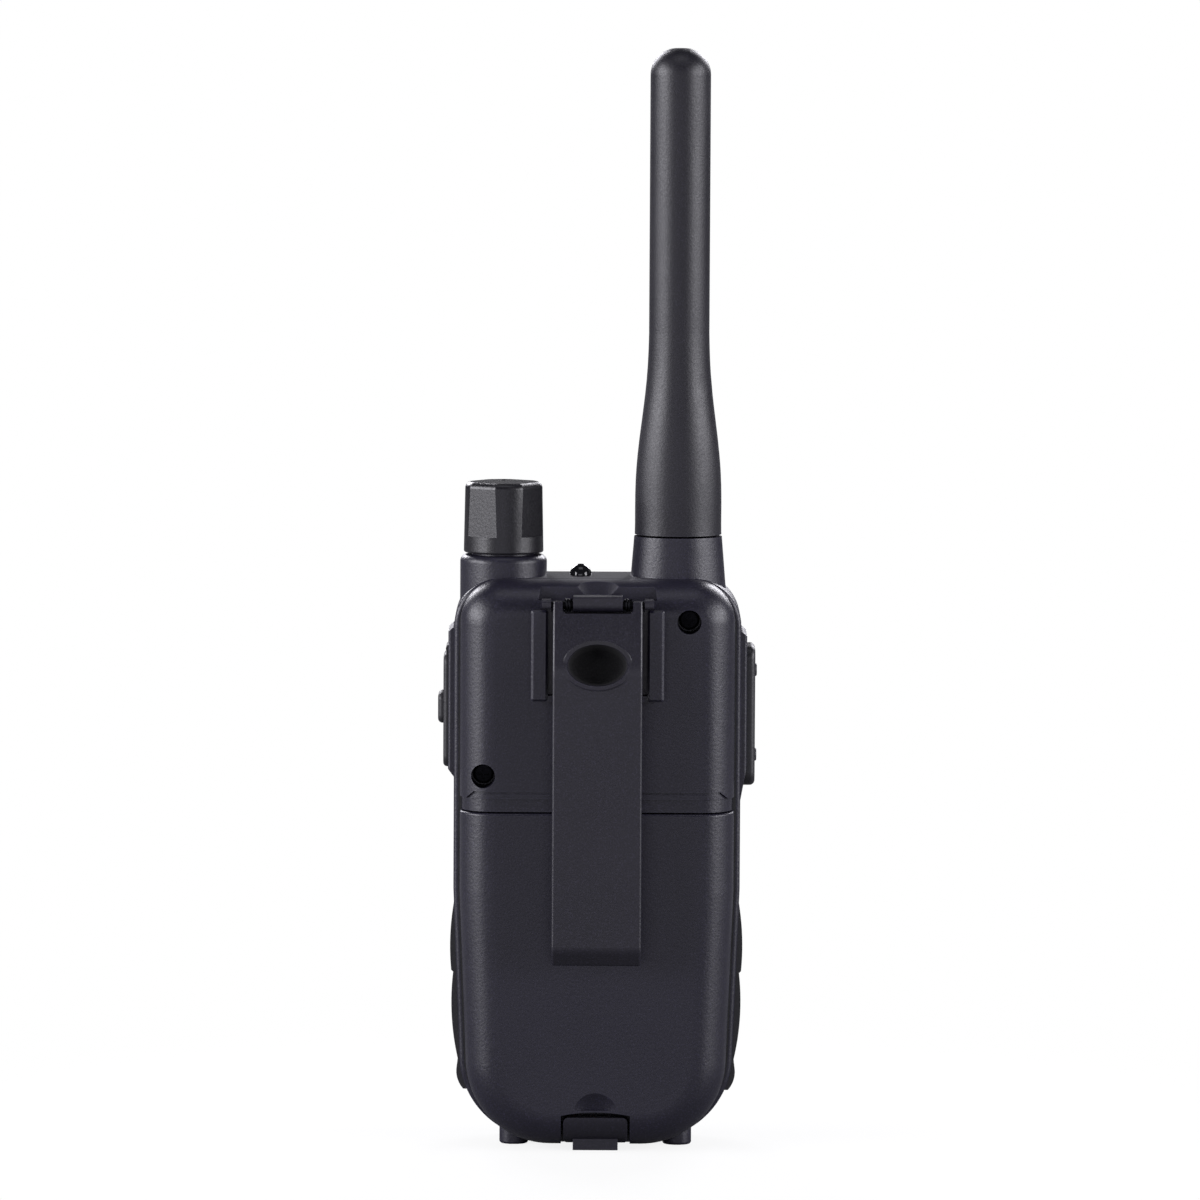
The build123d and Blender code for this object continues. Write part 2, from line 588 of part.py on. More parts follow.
with BuildPart() as clip_arm:
    with BuildSketch(sideways(-ARM_HALF_W)) as arm_side:
        with BuildLine():
            Polyline(
                (PIVOT_Y + 1.4, 110.9),
                (ARM_Y, 97.5),
                (ARM_Y, 41.5),
                (17.6, 38.1),
                (16.0, 39.8),
                (ARM_Y - ARM_T, 43),
                (ARM_Y - ARM_T, 97),
                (PIVOT_Y - 1.4, 107.6),
                (PIVOT_Y - 1.4, 110.9),
                close=True,
            )
        make_face()
        long_bends = arm_side.vertices().filter_by_position(Axis.Y, 90, 100)
        fillet(long_bends, 9)
        fillet(arm_side.vertices().group_by(Axis.Y)[:2], 0.7)
        fillet(arm_side.vertices().filter_by_position(Axis.Y, 41, 44), 3)
    extrude(amount=2 * ARM_HALF_W)
    with BuildSketch(upright(10)):  # rounds the two corners of the arm's free end
        with Locations((0, 88.1)):
            RectangleRounded(2 * ARM_HALF_W, 100, 1.2)
    extrude(amount=-15, mode=Mode.INTERSECT)
    with BuildPart(mode=Mode.PRIVATE) as hollow:  # inside of the deep oval dish for the thumb
        with BuildSketch(cup_plane.offset(-2)):
            Ellipse(6.4, 4.5)
        with BuildSketch(cup_plane.offset(CUP_DEPTH)):
            Ellipse(4.9, 3.1)
        loft()
        fillet(hollow.faces().sort_by(Axis.Y)[0].edges(), 1.4)
    with BuildPart(mode=Mode.PRIVATE) as cup:  # the dish itself, with a rolled rim
        with BuildSketch(cup_plane.offset(-CUP_RIM)):
            Ellipse(7.1, 5.2)
        with BuildSketch(cup_plane.offset(CUP_DEPTH + 0.5)):
            Ellipse(5.7, 3.8)
        loft()
        fillet(cup.faces().sort_by(Axis.Y)[-1].edges(), 0.3)
    add(cup.part)
    add(hollow.part, mode=Mode.SUBTRACT)
    with BuildSketch(upright(PLATE_Y[1])):  # notch between the two ears
        with Locations((0, NOTCH_BASE + 10)):
            RectangleRounded(2 * NOTCH_HALF_W, 20, 0.8)
    extrude(amount=-20, mode=Mode.SUBTRACT)
    fillet(clip_arm.faces().filter_by(Plane.YZ).edges().filter_by_position(Axis.Z, 38, 109), 0.5)
    add(rod((-12, PIVOT_Y, PIVOT_Z), Plane.YZ, PIVOT_R + SLIP, 24), mode=Mode.SUBTRACT)
finish("clip_arm", clip_arm.part)

# ---------------------------------------------------------------- antenna
TIP_R = 6.05
SEAM_GAP = 0.3  # shadow line between the sleeve and its base
FLARE = [  # height, width and depth of the sleeve from the seam up to its round part
    (SEAM_Z + SEAM_GAP, SEAM_SIZE[0] - 0.2, SEAM_SIZE[1] - 0.2),
    (134.0, 17.1, 15.2),
    (142.0, 15.7, 14.3),
    (150.0, 13.7, 13.1),
    (157.0, 12.5, 12.4),
    (163.0, 2 * TIP_R, 2 * TIP_R),
]
CORE_R = 2.4
CORE_Z = (128.0, 212.0)

with BuildPart() as antenna_sleeve:
    for height, width, depth in FLARE:
        with BuildSketch(Plane(origin=(ANTENNA_X, TOP_ROW_Y, height))):
            Ellipse(width / 2, depth / 2)
    loft()
    with BuildSketch(level(FLARE[-1][0])):
        with Locations((ANTENNA_X, TOP_ROW_Y)):
            Circle(TIP_R)
    extrude(amount=HEIGHT - FLARE[-1][0])
    fillet(antenna_sleeve.faces().sort_by(Axis.Z)[-1].edges(), 5.3)
    with BuildSketch(level(SEAM_Z - 1)):
        with Locations((ANTENNA_X, TOP_ROW_Y)):
            Circle(3.6)
    extrude(amount=CORE_Z[1] + 1.5 - SEAM_Z, mode=Mode.SUBTRACT)
finish("antenna_sleeve", antenna_sleeve.part)

with BuildPart() as antenna_core:
    with BuildSketch(level(CORE_Z[0])):
        with Locations((ANTENNA_X, TOP_ROW_Y)):
            Circle(CORE_R)
    extrude(amount=CORE_Z[1] - CORE_Z[0])
finish("antenna_core", antenna_core.part)

antenna_coil = spring((ANTENNA_X, TOP_ROW_Y, CORE_Z[0] + 2), CORE_R + 0.55, 0.4, 16, 76)
finish("antenna_coil", antenna_coil)

with BuildPart() as antenna_stud:
    with BuildSketch(level(STUD_Z)):
        with Locations((ANTENNA_X, TOP_ROW_Y)):
            Circle(ANTENNA_BORE_R - TOUCH)
    extrude(amount=SEAM_Z - STUD_Z - TOUCH)
    with BuildSketch(level(SEAM_Z - 0.5)):
        with Locations((ANTENNA_X, TOP_ROW_Y)):
            Circle(3.4)
    extrude(amount=CORE_Z[0] - SEAM_Z + 0.5)
finish("antenna_stud", antenna_stud.part)

with BuildPart() as antenna_contact:
    add(slab((-14.2, -12.8), (-8.5, -8.2), (100.4, STUD_Z - TOUCH)))
    add(slab((-14.2, -12.8), (-8.5, -5.5), (STUD_Z - 0.32, STUD_Z - TOUCH)))
finish("antenna_contact", antenna_contact.part)

# ---------------------------------------------------------------- volume control and its knob
KNOB_R = 8.0
FLAT_DEPTH = 0.9
FLAT_BASE = 122.3
FLAT_ANGLES = [54 + 90 * turn for turn in range(4)]
SHAFT_R = 3.0
ENCODER_TOP = 109.8

with BuildPart() as volume_knob:
    with BuildSketch(level(KNOB_Z[0])):
        with Locations((KNOB_X, TOP_ROW_Y)):
            Circle(KNOB_R)
    extrude(amount=KNOB_Z[1] - KNOB_Z[0], taper=1.1)
    for angle in FLAT_ANGLES:
        out = Vector(cos(radians(angle)), sin(radians(angle)), 0)
        centre = Vector(KNOB_X, TOP_ROW_Y, FLAT_BASE + 10) + out * (KNOB_R - FLAT_DEPTH)
        with BuildSketch(Plane(origin=centre, x_dir=Vector(0, 0, 1).cross(out), z_dir=out)):
            RectangleRounded(12, 20, 2.5)
        extrude(amount=4, mode=Mode.SUBTRACT)
    fillet(volume_knob.faces().sort_by(Axis.Z)[-1].edges(), 1.3)
    fillet(volume_knob.faces().sort_by(Axis.Z)[0].edges(), 0.4)
    with BuildSketch(level(KNOB_Z[0] - 1)):
        with Locations((KNOB_X, TOP_ROW_Y)):
            Circle(SHAFT_R + TOUCH)
    extrude(amount=12.6, mode=Mode.SUBTRACT)
    with BuildSketch(level(KNOB_Z[0] - 1)):
        with Locations((KNOB_X, TOP_ROW_Y)):
            Circle(LIP_R[1] + 0.5)
    extrude(amount=LIP_TOP - KNOB_Z[0] + 1.5, mode=Mode.SUBTRACT)
    with BuildSketch(level(KNOB_Z[1] - 0.4)):  # pointer line on top
        with Locations((KNOB_X, TOP_ROW_Y - 4.2)):
            SlotOverall(3.6, 0.9, rotation=90)
    extrude(amount=2, mode=Mode.SUBTRACT)
finish("volume_knob", volume_knob.part)

with BuildPart() as volume_shaft:
    with BuildSketch(level(ENCODER_TOP + 0.2)):
        with Locations((KNOB_X, TOP_ROW_Y)):
            Circle(SHAFT_R)
    extrude(amount=KNOB_Z[0] + 11.4 - ENCODER_TOP - 0.2)
finish("volume_shaft", volume_shaft.part)

with BuildPart() as volume_encoder:
    add(slab((KNOB_X - 4.6, KNOB_X + 4.6), (TOP_ROW_Y - 5.4, TOP_ROW_Y + 5.4), (105.2, ENCODER_TOP), 0.6))
    with BuildSketch(level(ENCODER_TOP - 0.5)):
        with Locations((KNOB_X, TOP_ROW_Y)):
            Circle(3.5)
    extrude(amount=118.0 - ENCODER_TOP + 0.5)
    with BuildSketch(level(ENCODER_TOP)):
        with Locations((KNOB_X, TOP_ROW_Y)):
            Circle(SHAFT_R + SLIP)
    extrude(amount=10, mode=Mode.SUBTRACT)
finish("volume_encoder", volume_encoder.part)

with BuildPart() as encoder_nut:
    with BuildSketch(level(CASE_TOP + TOUCH)):
        with Locations((KNOB_X, TOP_ROW_Y)):
            RegularPolygon(5.6, 6)
            Circle(3.5 + TOUCH, mode=Mode.SUBTRACT)
    extrude(amount=2)
finish("encoder_nut", encoder_nut.part)

with BuildPart() as led_lens:
    with Locations((LED_X, TOP_ROW_Y, CASE_TOP + 0.1)):
        Sphere(2.2)
    add(slab((-9, 9), (-20, 20), (CASE_TOP - 9, CASE_TOP + TOUCH)), mode=Mode.SUBTRACT)
    with BuildSketch(level(CASE_TOP - 7)):
        with Locations((LED_X, TOP_ROW_Y)):
            Circle(1.9)
    extrude(amount=8)
finish("led_lens", led_lens.part)

# ---------------------------------------------------------------- talk button
PTT_W = 12.4
PTT_FACE_X = 31.6
BEZEL_X = 29.9


def side_bezel(side, half_depth, z, rise, window_z, window_half):
    """Raised frame on one side of the front case, sloping into the case at its lower end."""
    face = side * BEZEL_X
    wall = side * HALF_W
    with BuildPart() as bezel:
        with BuildSketch(upright(SIDE_Y - half_depth)):
            with BuildLine():
                Polyline(
                    (wall, z[0]),
                    (face, z[0] + rise),
                    (face, z[1] - 0.8),
                    (wall + side * 0.3, z[1]),
                    (wall, z[1]),
                    close=True,
                )
            make_face()
        extrude(amount=-2 * half_depth)
        fillet(bezel.edges().filter_by(Axis.Z).sort_by(Axis.X)[:: -side][:2], 0.6)
        with BuildSketch(sideways(side * (HALF_W - 1))):
            with Locations((SIDE_Y, sum(window_z) / 2)):
                RectangleRounded(2 * window_half, window_z[1] - window_z[0], 2.6)
        extrude(amount=side * 5, mode=Mode.SUBTRACT)
    return bezel.part


ptt_bezel = side_bezel(-1, 8.1, (69.8, 103.6), 6.5, (PTT_Z[0] - GAP, PTT_Z[1] + GAP), PTT_W / 2 + GAP)
finish("ptt_bezel", ptt_bezel)

with BuildPart() as ptt_button:
    with BuildSketch(sideways(-PTT_FACE_X)):
        with Locations((SIDE_Y, sum(PTT_Z) / 2)):
            RectangleRounded(PTT_W, PTT_Z[1] - PTT_Z[0], 2.6)
    extrude(amount=PTT_FACE_X - 25.9)
    fillet(ptt_button.faces().sort_by(Axis.X)[0].edges(), 1.0)
    with BuildSketch(sideways(-26.6)):
        with Locations((SIDE_Y, sum(PTT_Z) / 2)):
            RectangleRounded(PTT_W + 2, PTT_Z[1] - PTT_Z[0] + 2.4, 2.6)
    extrude(amount=1.2)
    with BuildSketch(sideways(-32.0)):
        with Locations((SIDE_Y, 95.4), (SIDE_Y, 78.3)):
            Circle(1.3)
    extrude(amount=2)
    fillet(ptt_button.faces().sort_by(Axis.X)[:2].edges(), 0.3)
finish("ptt_button", ptt_button.part)

with BuildPart() as ptt_switch:
    add(slab((-23.3, -20.0), (BOARD_Y[1] + TOUCH, -4.6), (83.5, 89.5)))
    add(slab((-24.1, -23.3), (-7.4, -5.4), (85.5, 87.5)))
finish("ptt_switch", ptt_switch.part)

# ---------------------------------------------------------------- jacks and their cover
COVER_HALF_W = 5.6
COVER_FACE_X = 30.9

jack_bezel = side_bezel(1, 7.4, (74.2, 104.2), 1.6, (COVER_Z[0] - GAP, 101.8), COVER_HALF_W + GAP)
finish("jack_bezel", jack_bezel)

with BuildPart() as jack_cover:
    with BuildSketch(sideways(HALF_W + TOUCH)):
        with Locations((SIDE_Y, sum(COVER_Z) / 2)):
            RectangleRounded(2 * COVER_HALF_W, COVER_Z[1] - COVER_Z[0], 2.3)
    extrude(amount=COVER_FACE_X - HALF_W - TOUCH)
    fillet(jack_cover.faces().sort_by(Axis.X)[-1].edges(), 0.8)
    with BuildPart(mode=Mode.PRIVATE) as lift:  # raised grip that a fingertip catches
        with BuildSketch(sideways(COVER_FACE_X - 0.4)):
            with Locations((SIDE_Y, 87.7)):
                RectangleRounded(8, 6.2, 1.5)
        extrude(amount=32.0 - COVER_FACE_X + 0.4)
        fillet(lift.faces().sort_by(Axis.X)[-1].edges(), 0.9)
    add(lift.part)
    with BuildSketch(upright(SIDE_Y - 4.6)):  # hinge roll along the top edge
        with Locations(COVER_HINGE):
            Circle(0.85)
        with Locations((COVER_HINGE[0], COVER_HINGE[1] - 0.8)):
            Rectangle(1.5, 1.6)
    extrude(amount=-9.2)
    for z, r in zip(JACK_Z, JACK_R):  # stubs that stop the mouths of the jacks
        add(rod((JACK_FACE_X + 0.3, JACK_Y, z), Plane.YZ, r, HALF_W + 0.5 - JACK_FACE_X))
finish("jack_cover", jack_cover.part)

with BuildPart() as audio_jacks:
    for z, r in zip(JACK_Z, JACK_R):
        half = 3.9
        add(slab((14.5, 24.6), (BOARD_Y[1] + TOUCH, JACK_Y + 3.1), (z - half, z + half), 0.4))
        add(rod((24.0, JACK_Y, z), Plane.YZ, 3.0, JACK_FACE_X - 24.0))
    for z, r in zip(JACK_Z, JACK_R):
        add(rod((16.0, JACK_Y, z), Plane.YZ, r, 20), mode=Mode.SUBTRACT)
finish("audio_jacks", audio_jacks.part)

# ---------------------------------------------------------------- side grips
GRIP_Y = (-14.5, 0.6)
GRIP_BUMPS = [  # each bump: its top, crest and lower end, X and Z
    ((28.3, 50.6), (29.3, 42.0), (29.1, 35.3)),
    ((28.7, 34.9), (29.0, 27.0), (27.75, 17.5)),
    ((27.6, 16.9), (28.0, 14.9), (26.6, 11.2)),
]

for name, side in (("side_grip_left", -1), ("side_grip_right", 1)):
    with BuildPart() as grip:
        with BuildSketch(upright(GRIP_Y[0])):
            with BuildLine():
                for top, crest, end in GRIP_BUMPS:
                    ThreePointArc(*[(side * x, z) for x, z in (top, crest, end)])
                for above, below in zip(GRIP_BUMPS, GRIP_BUMPS[1:]):
                    Line((side * above[2][0], above[2][1]), (side * below[0][0], below[0][1]))
                Polyline((side * 26.6, 11.2), (side * 23, 11.2), (side * 23, 50.6), (side * 28.3, 50.6))
            make_face()
        extrude(amount=GRIP_Y[0] - GRIP_Y[1])
        add(front_blank(), mode=Mode.SUBTRACT)
    finish(name, grip.part)

# ---------------------------------------------------------------- display, keys and keypad
with BuildPart() as display_window:
    with BuildSketch(upright(FRONT_Y + 1.0 - TOUCH)):
        with Locations((0, sum(SCREEN_Z) / 2)):
            RectangleRounded(2 * SCREEN_HALF_W - 0.1, SCREEN_Z[1] - SCREEN_Z[0] - 0.1, 2.95)
    extrude(amount=1.0 - TOUCH)
finish("display_window", display_window.part)

with BuildPart() as display_module:
    add(slab((-18.5, 18.5), (-17.6, -13.0), (SCREEN_Z[0] - 1.2, SCREEN_Z[1] + 1.2)))
    with BuildSketch(upright(-17.2)):
        with Locations((0, sum(SCREEN_Z) / 2)):
            Rectangle(30, 16)
    extrude(amount=2, mode=Mode.SUBTRACT)
    for side in (-1, 1):  # legs to the circuit board
        add(slab(sorted((side * 15, side * 18)), (-13.2, BOARD_Y[0] - TOUCH), (SCREEN_Z[0], SCREEN_Z[1])))
finish("display_module", display_module.part)

for name, (place, size) in KEYS.items():
    with BuildPart() as key:
        with BuildSketch(upright(-16.9)):
            with Locations(place):
                RectangleRounded(*size, size[1] / 2 - 0.4)
        extrude(amount=-KEY_FACE_Y - 16.9)
        fillet(key.faces().sort_by(Axis.Y)[0].edges(), 0.6)
        with BuildSketch(upright(-16.9)):
            with Locations(place):
                RectangleRounded(size[0] + 1.3, size[1] + 1.3, size[1] / 2)
        extrude(amount=0.9)
    finish(name, key.part)

with BuildPart() as keypad_mat:
    add(slab((-20.5, 20.5), (-10.8, BOARD_Y[0] - TOUCH), (57.6, 75.6), 0.0))
    for place, size in KEYS.values():
        with BuildSketch(upright(-10.4)):
            with Locations(place):
                Circle(2.7)
        extrude(amount=15.8 - 10.4, taper=8)
    with BuildSketch(upright(-5)):
        with Locations(*SCREW_BACK):
            Circle(BOSS_R + 0.4)
    extrude(amount=10, mode=Mode.SUBTRACT)
finish("keypad_mat", keypad_mat.part)

# ---------------------------------------------------------------- circuit board
with BuildPart() as main_board:
    with BuildSketch(upright(BOARD_Y[1])):
        with Locations((0, sum(BOARD_Z) / 2)):
            RectangleRounded(2 * BOARD_HALF_W, BOARD_Z[1] - BOARD_Z[0], 2)
        with Locations(*SCREW_BACK, *SCREW_TRAY):
            Circle(BOSS_R + 0.4, mode=Mode.SUBTRACT)
        with Locations(*BOARD_SCREWS):
            Circle(SCREW_R + 0.1, mode=Mode.SUBTRACT)
    extrude(amount=BOARD_Y[1] - BOARD_Y[0])
finish("main_board", main_board.part)

with BuildPart() as board_screws:
    for place in BOARD_SCREWS:
        add(pan_screw(place, BOARD_Y[1], 5.5, head=1.2))
finish("board_screws", board_screws.part)

with BuildPart() as rf_shield:
    add(slab((-13, 13), (BOARD_Y[1] + TOUCH, -5.2), (76, 100)))
    add(slab((-12.7, 12.7), (BOARD_Y[1] - 1, -5.5), (76.3, 99.7)), mode=Mode.SUBTRACT)
finish("rf_shield", rf_shield.part)

CHIPS = [  # left, right, bottom and top of each component on the back of the board, and its height
    (-6.0, 6.0, 84.0, 94.0, 1.2),
    (-10.5, -8.0, 79.0, 83.0, 1.0),
    (8.0, 11.0, 79.0, 82.0, 2.2),
    (-16.0, -12.0, 70.0, 74.0, 1.1),
    (12.0, 16.5, 57.0, 61.5, 1.1),
    (-3.0, 3.0, 62.0, 66.0, 1.1),
]

with BuildPart() as board_components:
    for left, right, bottom, top, tall in CHIPS:
        add(slab((left, right), (BOARD_Y[1] + TOUCH, BOARD_Y[1] + tall), (bottom, top)))
finish("board_components", board_components.part)

# ---------------------------------------------------------------- speaker and microphone
def speaker_ring(profile):
    """Turns an outline given as (radius, depth behind the front wall) round the speaker's axis."""
    with BuildPart() as ring:
        with BuildSketch(Plane(origin=(0, FRONT_Y + WALL, SPEAKER_Z), x_dir=(1, 0, 0), z_dir=(0, 0, 1))):
            with BuildLine():
                Polyline(*profile, close=True)
            make_face()
        revolve(axis=Axis((0, 0, SPEAKER_Z), (0, 1, 0)))
    return ring.part


CLOTH_T = 0.3
BASKET = [  # the frame's rim, then its sloping skirt and the seat of the magnet
    (16.6, 0.34),
    (SPEAKER_R, 0.34),
    (SPEAKER_R, 2.0),
    (16.0, 2.2),
    (11.5, 5.4),
    (8.2, 5.4),
    (8.2, 4.9),
    (11.0, 4.9),
    (15.4, 1.8),
    (16.6, 1.6),
]
CONE = [  # dome in the middle, cone, then the rolled edge
    (0, 1.1),
    (6, 1.1),
    (7.5, 2.6),
    (15.6, 0.6),
    (16.4, 0.6),
    (16.4, 0.9),
    (7.4, 3.0),
    (5.9, 1.5),
    (0, 1.5),
]
cloth_r = SPEAKER_R - 0.5
finish("speaker_cloth", speaker_ring([(0, TOUCH), (cloth_r, TOUCH), (cloth_r, CLOTH_T), (0, CLOTH_T)]))
finish("speaker_frame", speaker_ring(BASKET))
finish("speaker_cone", speaker_ring(CONE))
finish("speaker_magnet", speaker_ring([(0, 5.42), (10, 5.42), (10, 9.2), (0, 9.2)]))

backwards = Plane(origin=(0, 0, 0), x_dir=(1, 0, 0), z_dir=(0, 1, 0))
microphone = rod((MIC_AT[0], FRONT_Y + WALL + TOUCH, MIC_AT[1]), backwards, 3.0, 3)
finish("microphone", microphone)

# ---------------------------------------------------------------- batteries and their contacts
CELL_X = [-CELL_PITCH, 0, CELL_PITCH]
NUB_UP = [True, False, True]
SPRING_LENGTH = BAY_Z[1] - BAY_Z[0] - CELL_BODY - CELL_NUB

with BuildPart() as battery_cells:
    for x, up in zip(CELL_X, NUB_UP):
        body_base = BAY_Z[0] + (SPRING_LENGTH if up else CELL_NUB)
        nub_base = body_base + CELL_BODY if up else BAY_Z[0]
        with BuildPart(mode=Mode.PRIVATE) as cell:
            with BuildSketch(level(body_base)):
                with Locations((x, CELL_Y)):
                    Circle(CELL_R)
            extrude(amount=CELL_BODY)
            fillet(cell.edges().filter_by(GeomType.CIRCLE), 0.6)
            with BuildSketch(level(nub_base + (TOUCH if not up else 0))):
                with Locations((x, CELL_Y)):
                    Circle(2.6)
            extrude(amount=CELL_NUB - TOUCH)
        add(cell.part)
finish("battery_cells", battery_cells.part)

with BuildPart() as battery_springs:
    for x, up in zip(CELL_X, NUB_UP):
        foot = BAY_Z[0] + 0.45 if up else BAY_Z[1] - SPRING_LENGTH + 0.45
        add(spring((x, CELL_Y, foot), 3.6, 0.35, 3, SPRING_LENGTH - 0.9))
finish("battery_springs", battery_springs.part)

with BuildPart() as battery_plates:
    for x, z in (((-17.6, 3.5), BAY_Z[0] - 0.3), ((10.5, 17.6), BAY_Z[0] - 0.3)):
        add(slab(x, (-4, 4.8), (z, z + 0.3)))
    for x, z in (((-18.5, -10.5), BAY_Z[1]), ((-3.5, 18.5), BAY_Z[1])):
        add(slab(x, (-4, 4.8), (z, z + 0.3)))
finish("battery_plates", battery_plates.part)

# ---------------------------------------------------------------- clip spring
with BuildPart() as clip_spring:
    for x in (-6.6, 5.2):
        add(spring((x, PIVOT_Y, PIVOT_Z), 1.1, 0.2, 2.5, 1.4, direction=(1, 0, 0)))
finish("clip_spring", clip_spring.part)
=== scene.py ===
import json
import math

import bpy
from mathutils import Matrix, Vector


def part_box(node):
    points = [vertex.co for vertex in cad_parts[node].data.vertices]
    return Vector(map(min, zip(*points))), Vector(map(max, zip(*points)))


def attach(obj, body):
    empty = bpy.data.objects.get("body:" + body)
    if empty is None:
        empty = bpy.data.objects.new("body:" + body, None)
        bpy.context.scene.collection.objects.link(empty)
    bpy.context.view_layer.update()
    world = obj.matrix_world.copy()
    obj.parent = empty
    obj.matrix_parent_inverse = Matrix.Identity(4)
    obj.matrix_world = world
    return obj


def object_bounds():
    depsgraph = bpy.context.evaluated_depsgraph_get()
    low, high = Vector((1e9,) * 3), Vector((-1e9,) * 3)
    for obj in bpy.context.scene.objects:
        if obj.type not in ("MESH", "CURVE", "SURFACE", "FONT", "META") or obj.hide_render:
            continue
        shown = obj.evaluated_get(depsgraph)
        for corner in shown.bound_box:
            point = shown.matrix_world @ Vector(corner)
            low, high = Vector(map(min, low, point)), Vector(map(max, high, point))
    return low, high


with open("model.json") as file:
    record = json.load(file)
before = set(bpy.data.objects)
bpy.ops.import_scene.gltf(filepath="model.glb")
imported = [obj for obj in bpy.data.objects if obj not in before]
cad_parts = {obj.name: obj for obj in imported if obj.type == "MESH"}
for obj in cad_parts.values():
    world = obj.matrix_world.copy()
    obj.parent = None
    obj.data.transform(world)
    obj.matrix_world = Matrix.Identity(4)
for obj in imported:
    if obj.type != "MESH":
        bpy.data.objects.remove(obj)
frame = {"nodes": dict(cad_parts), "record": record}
CAD_BOX = [list(corner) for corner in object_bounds()]
NODES = frame["nodes"]
LOW, HIGH = (Vector(corner) for corner in CAD_BOX)
HEIGHT = HIGH.z - LOW.z
MM = 0.001
DISH_Z = 98.5 * MM  # middle of the belt clip's thumb dish
DISH_HALF_W = 7.2 * MM
DISH_HALF_H = 5.2 * MM
DISH_SHADE_DEPTHS = (0.8 * MM, 2.6 * MM)  # below the arm's face, where the dish's painted shade starts and is full


# ---------------------------------------------------------------- camera
def make_camera():
    """A long lens behind the radio, a little above it, framed on the middle of its height."""
    distance = 1.6
    field = 1.091 * HEIGHT  # what the square picture takes in at the radio
    elevation = math.radians(5)
    roll = math.radians(0.3)
    aim = Vector((-0.0004, 0, 0.4995 * HEIGHT))
    data = bpy.data.cameras.new("camera")
    data.sensor_width = 36
    data.lens = data.sensor_width * distance / field
    data.clip_start, data.clip_end = 0.05, 50
    camera = bpy.data.objects.new("camera", data)
    back = Vector((0, math.cos(elevation), math.sin(elevation)))
    camera.rotation_mode = "QUATERNION"
    camera.location = aim + back * distance
    turn = (-back).to_track_quat("-Z", "Y")
    camera.rotation_quaternion = turn @ Matrix.Rotation(roll, 3, "Z").to_quaternion()
    bpy.context.scene.collection.objects.link(camera)
    bpy.context.scene.camera = camera


# ---------------------------------------------------------------- node helper
class Shader:
    """A small helper that makes the nodes of one material and joins them up."""

    def __init__(self, name):
        self.material = bpy.data.materials.new(name)
        self.material.use_nodes = True
        self.tree = self.material.node_tree
        self.bsdf = self.tree.nodes["Principled BSDF"]
        self.place = self.node("ShaderNodeTexCoord").outputs["Object"]

    def node(self, kind, **settings):
        made = self.tree.nodes.new(kind)
        for key, value in settings.items():
            setattr(made, key, value)
        return made

    def link(self, source, target):
        self.tree.links.new(source, target)

    def noise(self, size, detail=2.0, rough=0.5):
        """Soft noise whose features are about this many metres across, from 0 to 1."""
        made = self.node("ShaderNodeTexNoise")
        self.link(self.place, made.inputs["Vector"])
        made.inputs["Scale"].default_value = 1 / size
        made.inputs["Detail"].default_value = detail
        made.inputs["Roughness"].default_value = rough
        return made.outputs["Fac"]

    def cells(self, size):
        """Distance from the nearest of many scattered points, this many metres apart."""
        made = self.node("ShaderNodeTexVoronoi")
        self.link(self.place, made.inputs["Vector"])
        made.inputs["Scale"].default_value = 1 / size
        return made.outputs["Distance"]

    def remap(self, source, low, high, to_low=0.0, to_high=1.0):
        made = self.node("ShaderNodeMapRange")
        self.link(source, made.inputs["Value"])
        for name, value in (("From Min", low), ("From Max", high), ("To Min", to_low), ("To Max", to_high)):
            made.inputs[name].default_value = value
        return made.outputs["Result"]

    def maths(self, kind, first, second):
        made = self.node("ShaderNodeMath", operation=kind)
        for socket, value in zip(made.inputs, (first, second)):
            if isinstance(value, (int, float)):
                socket.default_value = value
            else:
                self.link(value, socket)
        return made.outputs[0]

    def mix(self, factor, first, second):
        made = self.node("ShaderNodeMix", data_type="RGBA")
        self.link(factor, made.inputs["Factor"])
        for socket, value in ((made.inputs["A"], first), (made.inputs["B"], second)):
            if isinstance(value, tuple):
                socket.default_value = (*value, 1)
            else:
                self.link(value, socket)
        return made.outputs["Result"]

    def shader_mix(self, factor, first, second):
        made = self.node("ShaderNodeMixShader")
        self.link(factor, made.inputs["Fac"])
        self.link(first, made.inputs[1])
        self.link(second, made.inputs[2])
        return made.outputs[0]

    def edges(self, radius):
        """1 along convex and concave edges narrower than the radius, 0 elsewhere."""
        bevel = self.node("ShaderNodeBevel", samples=4)
        bevel.inputs["Radius"].default_value = radius
        geometry = self.node("ShaderNodeNewGeometry")
        dot = self.node("ShaderNodeVectorMath", operation="DOT_PRODUCT")
        self.link(bevel.outputs[0], dot.inputs[0])
        self.link(geometry.outputs["Normal"], dot.inputs[1])
        return self.remap(dot.outputs["Value"], 0.995, 0.93)

    def bump(self, height, depth):
        made = self.node("ShaderNodeBump")
        self.link(height, made.inputs["Height"])
        made.inputs["Distance"].default_value = depth
        made.inputs["Strength"].default_value = 1.0
        return made.outputs["Normal"]

    def set(self, **values):
        for key, value in values.items():
            self.bsdf.inputs[key.replace("_", " ")].default_value = value
        return self


# ---------------------------------------------------------------- light and floor
def area_light(name, place, size, power, colour=(0.95, 0.94, 1.0)):
    """A rectangular soft box that faces the middle of the radio."""
    data = bpy.data.lights.new(name, "AREA")
    data.shape = "RECTANGLE"
    data.size, data.size_y = size
    data.energy = power
    data.color = colour
    light = bpy.data.objects.new(name, data)
    light.location = place
    aim = Vector((0, 0, HEIGHT / 2)) - Vector(place)
    light.rotation_mode = "QUATERNION"
    light.rotation_quaternion = aim.to_track_quat("-Z", "Z")
    bpy.context.scene.collection.objects.link(light)


